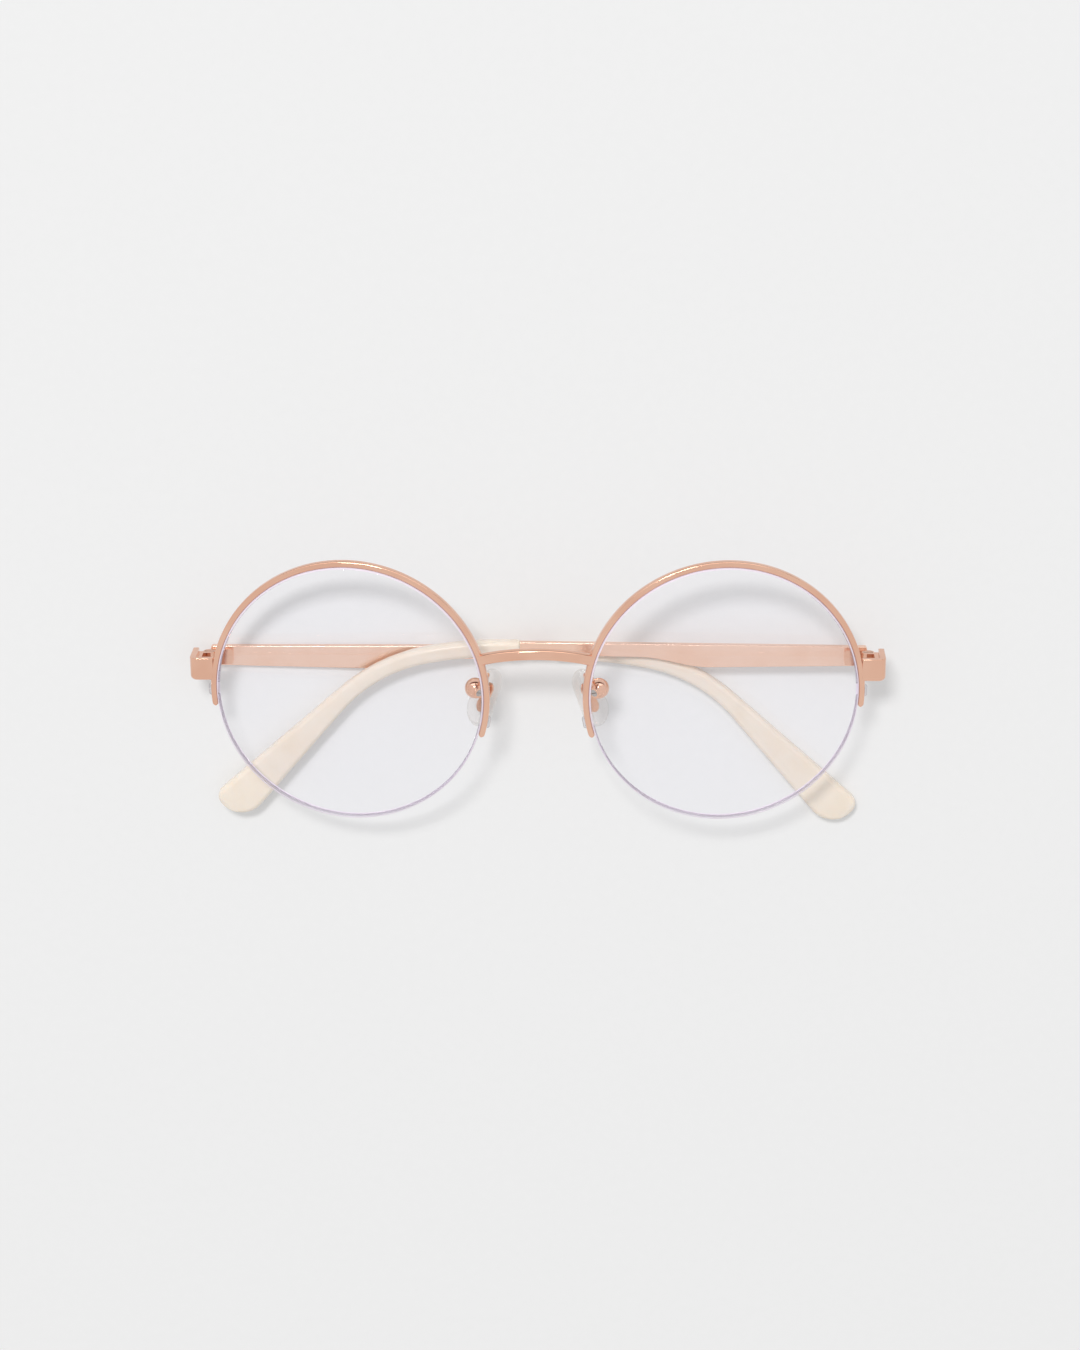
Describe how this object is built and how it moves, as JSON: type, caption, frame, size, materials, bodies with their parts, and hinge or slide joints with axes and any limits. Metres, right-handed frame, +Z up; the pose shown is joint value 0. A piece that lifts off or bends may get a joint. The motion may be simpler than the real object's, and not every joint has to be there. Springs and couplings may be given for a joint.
{
  "type": "half-rimmed round reading glasses",
  "caption": "Folded round reading glasses with metal half rims, a nylon cord under each lens, folding temples with acetate tips and rocking nose pads.",
  "frame": {"origin": "centre of the bounding box's underside, on the table that the folded glasses lie on", "axes": "+X across the front, to the right as seen from the front, +Y towards the brow side, +Z up out of the lenses"},
  "size_m": [0.1394, 0.06, 0.0194],
  "materials": {
    "rose_metal": "polished rose gold plating",
    "lens": "clear, coated",
    "nylon": "clear nylon",
    "cream_acetate": "polished cream acetate",
    "silicone": "clear silicone",
    "steel": "bright screw steel"
  },
  "bodies": {
    "front": {"bridge": "rose_metal", "endpiece_left": "rose_metal", "endpiece_right": "rose_metal", "front_hinge_left": "rose_metal", "front_hinge_right": "rose_metal", "hinge_screw_left": "steel", "hinge_screw_right": "steel", "lens_left": "lens", "lens_right": "lens", "lower_cord_left": "nylon", "lower_cord_right": "nylon", "pad_arm_left": "rose_metal", "pad_arm_right": "rose_metal", "pad_box_left": "rose_metal", "pad_box_right": "rose_metal", "pad_screw_left": "steel", "pad_screw_right": "steel", "rim_left": "rose_metal", "rim_liner_left": "nylon", "rim_liner_right": "nylon", "rim_right": "rose_metal"},
    "temple_right": {"temple_hinge_right": "rose_metal", "temple_right": "rose_metal", "temple_tip_right": "cream_acetate"},
    "temple_left": {"temple_hinge_left": "rose_metal", "temple_left": "rose_metal", "temple_tip_left": "cream_acetate"},
    "pad_right": {"nose_pad_right": "silicone", "pad_insert_right": "rose_metal"},
    "pad_left": {"nose_pad_left": "silicone", "pad_insert_left": "rose_metal"}
  },
  "joints": [
    {"name": "temple_left_hinge", "type": "hinge", "parent": "front", "child": "temple_left", "pos_m": [-0.06639, 0.00636, 0.0033], "axis": [0, 0.9998, 0.0198], "range_deg": [0, 89]},
    {"name": "temple_right_hinge", "type": "hinge", "parent": "front", "child": "temple_right", "pos_m": [0.06655, 0.00629, 0.00715], "axis": [0, -0.9998, -0.0198], "range_deg": [0, 91.2]},
    {"name": "nose_pad_left_rock", "type": "hinge", "parent": "front", "child": "pad_left", "pos_m": [-0.0125, 0.00221, 0.01101], "axis": [0.5004, -0.2864, 0.8171], "range_deg": [-8, 8]},
    {"name": "nose_pad_right_rock", "type": "hinge", "parent": "front", "child": "pad_right", "pos_m": [0.01229, 0.0022, 0.01173], "axis": [-0.5472, -0.2858, 0.7867], "range_deg": [-8, 8]}
  ]
}
